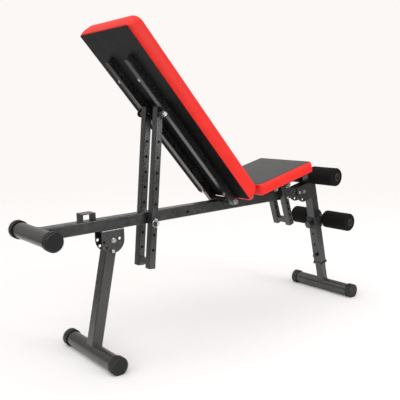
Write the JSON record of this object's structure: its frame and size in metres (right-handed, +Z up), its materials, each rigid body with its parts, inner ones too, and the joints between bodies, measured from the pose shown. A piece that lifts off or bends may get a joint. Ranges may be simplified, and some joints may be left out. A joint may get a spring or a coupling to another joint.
{
  "type": "decline sit up bench",
  "caption": "Folding decline sit up bench with a hinged backrest and seat pad, strut supports with lock pins, foam ankle rollers and two folding legs with cross feet.",
  "frame": {"origin": "on the floor, on the mirror plane of the bench, half way between the rear handle's end and the front foot's end", "axes": "+X from the rear handle to the foam rollers, +Y to the far side (left of a person looking along +X), +Z up"},
  "size_m": [1.3979, 0.325, 1.0641],
  "materials": {
    "frame_paint": "satin dark grey powder coat",
    "black_plastic": "moulded black plastic",
    "black_paint": "satin black powder coat",
    "zinc_steel": "zinc plated",
    "black_steel": "black zinc plated",
    "foam_black": "closed cell foam",
    "red_vinyl": "soft grained vinyl over foam",
    "board_wood": "board under a black dust cover"
  },
  "bodies": {
    "frame": {"main_beam": "frame_paint", "beam_end_plug": "black_plastic", "handle_tube": "frame_paint", "handle_caps": "black_plastic", "saddle": "frame_paint", "rear_bracket": "frame_paint", "back_hinge_tube": "frame_paint", "seat_hinge_tube": "frame_paint", "back_hinge_bolt": "zinc_steel", "back_hinge_nut": "black_steel", "seat_hinge_bolt": "zinc_steel", "seat_hinge_nut": "black_steel", "rear_pivot_bolt": "zinc_steel", "rear_pivot_nut": "black_steel", "front_pivot_bolt": "zinc_steel", "front_pivot_nut": "black_steel"},
    "rear_leg": {"rear_leg": "frame_paint", "rear_foot": "frame_paint", "rear_foot_caps": "black_plastic"},
    "rear_lock_pin": {"rear_lock_pin": "zinc_steel"},
    "front_leg": {"front_leg": "frame_paint", "front_bracket": "frame_paint", "front_leg_plug": "black_plastic", "front_leg_collar": "black_plastic", "upper_bar": "frame_paint", "upper_bar_plugs": "black_plastic"},
    "front_lock_pin": {"front_lock_pin": "zinc_steel"},
    "upper_roller_near": {"upper_roller_near": "foam_black"},
    "upper_roller_far": {"upper_roller_far": "foam_black"},
    "sleeve": {"roller_sleeve": "black_paint", "lower_bar": "frame_paint", "lower_bar_plugs": "black_plastic"},
    "lower_roller_near": {"lower_roller_near": "foam_black"},
    "lower_roller_far": {"lower_roller_far": "foam_black"},
    "sleeve_knob": {"sleeve_knob": "black_plastic"},
    "foot": {"inner_tube": "frame_paint", "front_foot": "frame_paint", "front_foot_caps": "black_plastic"},
    "foot_knob": {"foot_knob": "black_plastic"},
    "backrest": {"back_cushion": "red_vinyl", "back_board": "board_wood", "back_rails": "frame_paint", "back_rail_plugs": "black_plastic", "back_rail_bolts": "zinc_steel", "back_ears": "frame_paint", "back_strut_bolts": "zinc_steel", "back_strut_spacers": "frame_paint", "back_strut_nuts": "black_steel"},
    "back_strut": {"back_strut": "frame_paint", "back_strut_plugs": "black_plastic"},
    "back_pin": {"back_pin": "zinc_steel"},
    "seat": {"seat_cushion": "red_vinyl", "seat_board": "board_wood", "seat_rails": "frame_paint", "seat_rail_bolts": "black_steel", "seat_ears": "frame_paint", "seat_strut_bolts": "zinc_steel", "seat_strut_spacers": "frame_paint"},
    "seat_strut": {"seat_strut": "frame_paint"},
    "seat_pin": {"seat_pin": "zinc_steel"}
  },
  "joints": [
    {"name": "rear_leg_fold", "type": "hinge", "parent": "frame", "child": "rear_leg", "pos_m": [-0.41967, 0, 0.38111], "axis": [0, 1, 0], "range_deg": [0, 77.2]},
    {"name": "rear_lock_pin_pull", "type": "slide", "parent": "frame", "child": "rear_lock_pin", "axis": [0, -1, 0], "range_m": [-0.004, 0.006]},
    {"name": "front_leg_fold", "type": "hinge", "parent": "frame", "child": "front_leg", "pos_m": [0.4973, 0, 0.45751], "axis": [0, 1, 0], "range_deg": [0, 38.6]},
    {"name": "front_lock_pin_pull", "type": "slide", "parent": "front_leg", "child": "front_lock_pin", "axis": [0, -1, 0], "range_m": [-0.004, 0.006]},
    {"name": "upper_roller_near_spin", "type": "hinge", "parent": "front_leg", "child": "upper_roller_near", "pos_m": [0.55133, 0, 0.52313], "axis": [0, 1, 0], "continuous": true},
    {"name": "upper_roller_far_spin", "type": "hinge", "parent": "front_leg", "child": "upper_roller_far", "pos_m": [0.55133, 0, 0.52313], "axis": [0, 1, 0], "continuous": true},
    {"name": "sleeve_slide", "type": "slide", "parent": "front_leg", "child": "sleeve", "axis": [-0.2362, 0, 0.9717], "range_m": [-0.102, 0]},
    {"name": "lower_roller_near_spin", "type": "hinge", "parent": "sleeve", "child": "lower_roller_near", "pos_m": [0.64826, 0, 0.32543], "axis": [0, 1, 0], "continuous": true},
    {"name": "lower_roller_far_spin", "type": "hinge", "parent": "sleeve", "child": "lower_roller_far", "pos_m": [0.64826, 0, 0.32543], "axis": [0, 1, 0], "continuous": true},
    {"name": "sleeve_knob_pull", "type": "slide", "parent": "sleeve", "child": "sleeve_knob", "axis": [-0.9717, 0, -0.2362], "range_m": [-0.004, 0.006]},
    {"name": "foot_slide", "type": "slide", "parent": "front_leg", "child": "foot", "axis": [-0.2362, 0, 0.9717], "range_m": [-0.102, 0]},
    {"name": "foot_knob_pull", "type": "slide", "parent": "front_leg", "child": "foot_knob", "axis": [-0.9717, 0, -0.2362], "range_m": [-0.004, 0.006]},
    {"name": "backrest_tilt", "type": "hinge", "parent": "frame", "child": "backrest", "pos_m": [0.066, 0, 0.462], "axis": [0, 1, 0], "range_deg": [-36, 15]},
    {"name": "back_strut_swing", "type": "hinge", "parent": "backrest", "child": "back_strut", "pos_m": [-0.247, 0, 0.77898], "axis": [0, -1, 0], "range_deg": [-11, 30]},
    {"name": "back_pin_pull", "type": "slide", "parent": "back_strut", "child": "back_pin", "axis": [0, -1, 0], "range_m": [-0.004, 0.006]},
    {"name": "seat_tilt", "type": "hinge", "parent": "frame", "child": "seat", "pos_m": [0.143, 0, 0.4735], "axis": [0, 1, 0], "range_deg": [-12, 12.5]},
    {"name": "seat_strut_swing", "type": "hinge", "parent": "seat", "child": "seat_strut", "pos_m": [0.34687, 0, 0.5032], "axis": [0, -1, 0], "range_deg": [-25, 8]},
    {"name": "seat_pin_pull", "type": "slide", "parent": "seat_strut", "child": "seat_pin", "axis": [0, -1, 0], "range_m": [-0.004, 0.006]}
  ]
}
